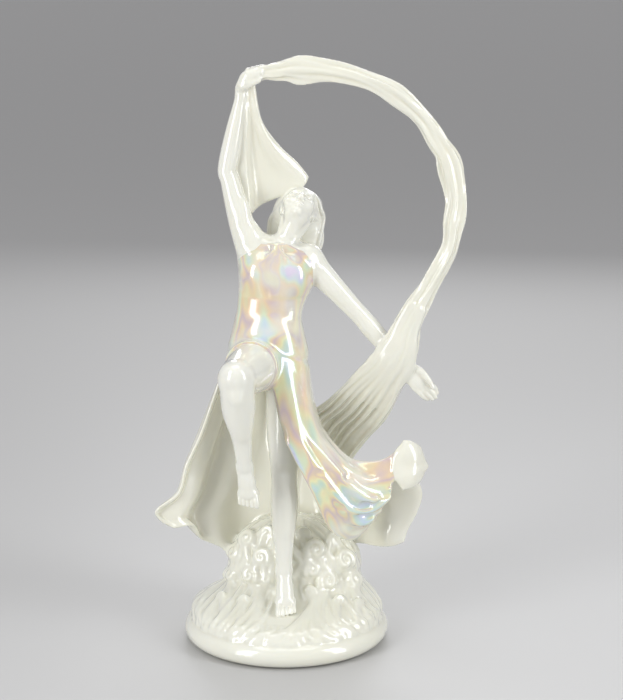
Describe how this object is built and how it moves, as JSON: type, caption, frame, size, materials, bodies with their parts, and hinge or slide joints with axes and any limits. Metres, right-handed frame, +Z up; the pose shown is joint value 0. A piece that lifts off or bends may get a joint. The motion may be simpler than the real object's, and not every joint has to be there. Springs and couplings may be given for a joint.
{
  "type": "porcelain figurine",
  "caption": "Glazed porcelain figurine of a dancer poised on one foot on a foam mound, one knee raised, a long scarf swept over the head, dress front in lustre glaze.",
  "frame": {"origin": "centre of the plinth's flat underside", "axes": "+Z up, the dancer's front faces -Y, her raised arm is on the -X side and the scarf's arc on the +X side"},
  "size_m": [0.1533, 0.111, 0.2958],
  "materials": {
    "white_glaze": "high gloss clear glaze",
    "figure_glaze": "high gloss clear glaze",
    "cloth_glaze": "high gloss clear glaze",
    "lustre_glaze": "high gloss mother-of-pearl lustre"
  },
  "bodies": {
    "root": {"plinth": "white_glaze", "mound": "white_glaze", "foam_crest": "white_glaze", "foam_tongues": "white_glaze", "foam_curls": "white_glaze", "standing_leg": "figure_glaze", "standing_foot": "figure_glaze", "raised_thigh": "figure_glaze", "raised_shin": "figure_glaze", "raised_foot": "figure_glaze", "torso": "lustre_glaze", "neckline_gather": "lustre_glaze", "thigh_hem": "lustre_glaze", "neck": "figure_glaze", "head": "figure_glaze", "hair": "figure_glaze", "raised_arm": "figure_glaze", "raised_hand": "figure_glaze", "lowered_arm": "figure_glaze", "lowered_hand": "figure_glaze", "skirt_back": "cloth_glaze", "skirt_front_panel": "lustre_glaze", "skirt_cuff": "cloth_glaze", "skirt_side_flare": "cloth_glaze", "scarf_arc": "cloth_glaze", "scarf_wrap": "cloth_glaze", "scarf_fall": "cloth_glaze", "scarf_tail": "cloth_glaze"}
  },
  "joints": []
}
